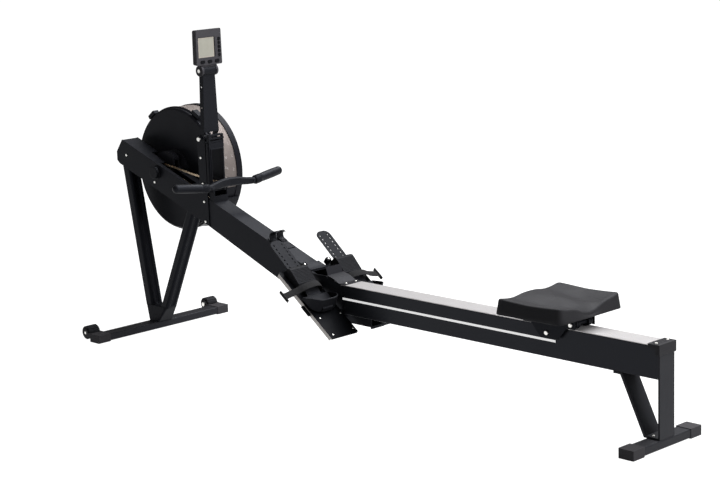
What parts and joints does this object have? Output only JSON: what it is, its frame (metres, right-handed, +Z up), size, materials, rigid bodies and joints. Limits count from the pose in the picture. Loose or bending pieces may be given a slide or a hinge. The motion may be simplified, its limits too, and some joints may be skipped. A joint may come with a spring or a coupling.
{
  "type": "rowing machine",
  "caption": "Air-resistance rowing machine: caged fan flywheel on a V leg, sloping beam, level rail with a sliding seat, footrests, pull handle on a chain and a tilting monitor.",
  "frame": {"origin": "on the floor, under the middle of the machine's bounding box", "axes": "+X from the flywheel end to the rear foot (the rower sits facing -X), -Y the rower's left, +Y the side of the flywheel cage, +Z up"},
  "size_m": [2.44, 0.61, 1.108],
  "materials": {
    "frame_paint": "satin black powder coat",
    "leg_paint": "satin dark grey powder coat",
    "cage_shell": "satin moulded charcoal",
    "mesh": "fine perforated sheet, taupe grey",
    "moulding": "fine grained black moulding",
    "cap_plastic": "fine grained dark grey moulding",
    "track_steel": "polished running strip",
    "rail_metal": "black anodised extrusion",
    "zinc": "bright zinc plate",
    "chain": "nickel-brass toned chain",
    "steel": "turned steel",
    "rotor": "bare sheet",
    "grip_rubber": "soft dark blue-grey rubber",
    "wheel_rubber": "hard black rubber",
    "seat_foam": "matte moulded foam skin",
    "webbing": "woven nylon webbing",
    "cord": "braided elastic cord",
    "screen": "pale grey-green display",
    "key": "soft-touch keys"
  },
  "bodies": {
    "frame": {"front_foot_bar": "leg_paint", "front_end_caps": "cap_plastic", "front_leg": "frame_paint", "head_plate_left": "frame_paint", "head_plate_right": "frame_paint", "head_cover": "frame_paint", "main_beam": "frame_paint", "chain_guide": "moulding", "guide_bracket": "moulding", "flywheel_bearings": "steel", "cage_inner_cover": "cage_shell", "cage_outer_cover": "cage_shell", "cage_mesh": "mesh", "cage_skirt": "cage_shell", "cage_clamps": "moulding", "axle_cap": "cap_plastic", "rail": "rail_metal", "rail_track": "track_steel", "rail_end_cap": "cap_plastic", "rear_leg": "leg_paint", "rear_foot_bar": "leg_paint", "rear_end_caps": "cap_plastic", "footrest_bracket": "frame_paint", "footplate_left": "moulding", "footplate_right": "moulding", "toe_pads": "moulding", "foot_straps": "webbing", "centre_cover": "cap_plastic", "handle_hook": "moulding", "frame_bolts": "zinc", "drive_chain": "chain", "return_cord": "cord"},
    "flywheel": {"flywheel_rotor": "rotor"},
    "sprocket": {"drive_sprocket": "steel"},
    "idler": {"chain_idler": "cap_plastic"},
    "return_block": {"return_block": "steel"},
    "return_pulley": {"return_pulley": "cap_plastic"},
    "handle": {"handle_bar": "moulding", "hand_grips": "grip_rubber", "chain_swivel": "steel"},
    "wheel_left": {"transport_wheel_left": "wheel_rubber"},
    "wheel_right": {"transport_wheel_right": "wheel_rubber"},
    "heel_left": {"heel_cup_left": "moulding"},
    "heel_right": {"heel_cup_right": "moulding"},
    "seat": {"seat_pad": "seat_foam", "seat_carriage": "frame_paint"},
    "seat_front_rollers": {"seat_rollers_front": "cap_plastic"},
    "seat_rear_rollers": {"seat_rollers_rear": "cap_plastic"},
    "seat_guide_rollers": {"guide_rollers": "cap_plastic"},
    "monitor_arm": {"monitor_arm": "moulding"},
    "monitor": {"monitor_case": "moulding", "monitor_screen": "screen"},
    "side_button_1": {"side_button_1": "key"},
    "side_button_2": {"side_button_2": "key"},
    "side_button_3": {"side_button_3": "key"},
    "side_button_4": {"side_button_4": "key"},
    "side_button_5": {"side_button_5": "key"},
    "lower_button_1": {"lower_button_1": "key"},
    "lower_button_2": {"lower_button_2": "key"},
    "lower_button_3": {"lower_button_3": "key"}
  },
  "joints": [
    {"name": "flywheel_spin", "type": "hinge", "parent": "frame", "child": "flywheel", "pos_m": [-0.9948, 0, 0.587], "axis": [0, 1, 0], "continuous": true},
    {"name": "handle_pull", "type": "slide", "parent": "frame", "child": "handle", "axis": [1, 0, 0], "range_m": [0, 1.25], "stiffness_N_per_m": 8, "springref_m": -0.5},
    {"name": "sprocket_spin", "type": "hinge", "parent": "frame", "child": "sprocket", "pos_m": [-0.9948, 0, 0.587], "axis": [0, 1, 0], "continuous": true},
    {"name": "idler_spin", "type": "hinge", "parent": "frame", "child": "idler", "pos_m": [-0.735, 0, 0.56314], "axis": [0, 1, 0], "continuous": true},
    {"name": "return_slide", "type": "slide", "parent": "frame", "child": "return_block", "axis": [-0.9397, 0, 0.342], "range_m": [0, 0.625]},
    {"name": "return_pulley_spin", "type": "hinge", "parent": "return_block", "child": "return_pulley", "pos_m": [-0.29323, 0, 0.32654], "axis": [0, 1, 0], "continuous": true},
    {"name": "wheel_left_spin", "type": "hinge", "parent": "frame", "child": "wheel_left", "pos_m": [-1.1145, 0, 0.0283], "axis": [0, 1, 0], "continuous": true},
    {"name": "wheel_right_spin", "type": "hinge", "parent": "frame", "child": "wheel_right", "pos_m": [-1.1145, 0, 0.0283], "axis": [0, 1, 0], "continuous": true},
    {"name": "heel_left_slide", "type": "slide", "parent": "frame", "child": "heel_left", "axis": [0.7986, 0, -0.6018], "range_m": [0, 0.05]},
    {"name": "heel_right_slide", "type": "slide", "parent": "frame", "child": "heel_right", "axis": [0.7986, 0, -0.6018], "range_m": [0, 0.05]},
    {"name": "seat_slide", "type": "slide", "parent": "frame", "child": "seat", "axis": [1, 0, 0], "range_m": [-0.66, 0.22]},
    {"name": "seat_front_spin", "type": "hinge", "parent": "seat", "child": "seat_front_rollers", "pos_m": [0.742, 0, 0.3197], "axis": [0, 1, 0], "continuous": true},
    {"name": "seat_rear_spin", "type": "hinge", "parent": "seat", "child": "seat_rear_rollers", "pos_m": [0.908, 0, 0.3197], "axis": [0, 1, 0], "continuous": true},
    {"name": "seat_guide_spin", "type": "hinge", "parent": "seat", "child": "seat_guide_rollers", "pos_m": [0.817, 0, 0.2831], "axis": [0, 1, 0], "continuous": true},
    {"name": "monitor_arm_fold", "type": "hinge", "parent": "frame", "child": "monitor_arm", "pos_m": [-0.747, 0, 0.727], "axis": [0, 1, 0], "range_deg": [-60, 10]},
    {"name": "monitor_tilt", "type": "hinge", "parent": "monitor_arm", "child": "monitor", "pos_m": [-0.728, 0, 0.965], "axis": [0, 1, 0], "range_deg": [-30, 30]},
    {"name": "side_button_1_press", "type": "slide", "parent": "monitor", "child": "side_button_1", "axis": [-1, 0, 0], "range_m": [0, 0.0015], "stiffness_N_per_m": 300},
    {"name": "side_button_2_press", "type": "slide", "parent": "monitor", "child": "side_button_2", "axis": [-1, 0, 0], "range_m": [0, 0.0015], "stiffness_N_per_m": 300},
    {"name": "side_button_3_press", "type": "slide", "parent": "monitor", "child": "side_button_3", "axis": [-1, 0, 0], "range_m": [0, 0.0015], "stiffness_N_per_m": 300},
    {"name": "side_button_4_press", "type": "slide", "parent": "monitor", "child": "side_button_4", "axis": [-1, 0, 0], "range_m": [0, 0.0015], "stiffness_N_per_m": 300},
    {"name": "side_button_5_press", "type": "slide", "parent": "monitor", "child": "side_button_5", "axis": [-1, 0, 0], "range_m": [0, 0.0015], "stiffness_N_per_m": 300},
    {"name": "lower_button_1_press", "type": "slide", "parent": "monitor", "child": "lower_button_1", "axis": [-1, 0, 0], "range_m": [0, 0.0015], "stiffness_N_per_m": 300},
    {"name": "lower_button_2_press", "type": "slide", "parent": "monitor", "child": "lower_button_2", "axis": [-1, 0, 0], "range_m": [0, 0.0015], "stiffness_N_per_m": 300},
    {"name": "lower_button_3_press", "type": "slide", "parent": "monitor", "child": "lower_button_3", "axis": [-1, 0, 0], "range_m": [0, 0.0015], "stiffness_N_per_m": 300}
  ],
  "couplings": [
    {"joint": "sprocket_spin", "follows": "handle_pull", "rad_per_m": 54.971},
    {"joint": "idler_spin", "follows": "handle_pull", "rad_per_m": 88.496},
    {"joint": "return_slide", "follows": "handle_pull", "ratio": 0.5},
    {"joint": "return_pulley_spin", "follows": "handle_pull", "rad_per_m": 30.675},
    {"joint": "seat_front_spin", "follows": "seat_slide", "rad_per_m": 66.667},
    {"joint": "seat_rear_spin", "follows": "seat_slide", "rad_per_m": 66.667},
    {"joint": "seat_guide_spin", "follows": "seat_slide", "rad_per_m": -52.632}
  ]
}
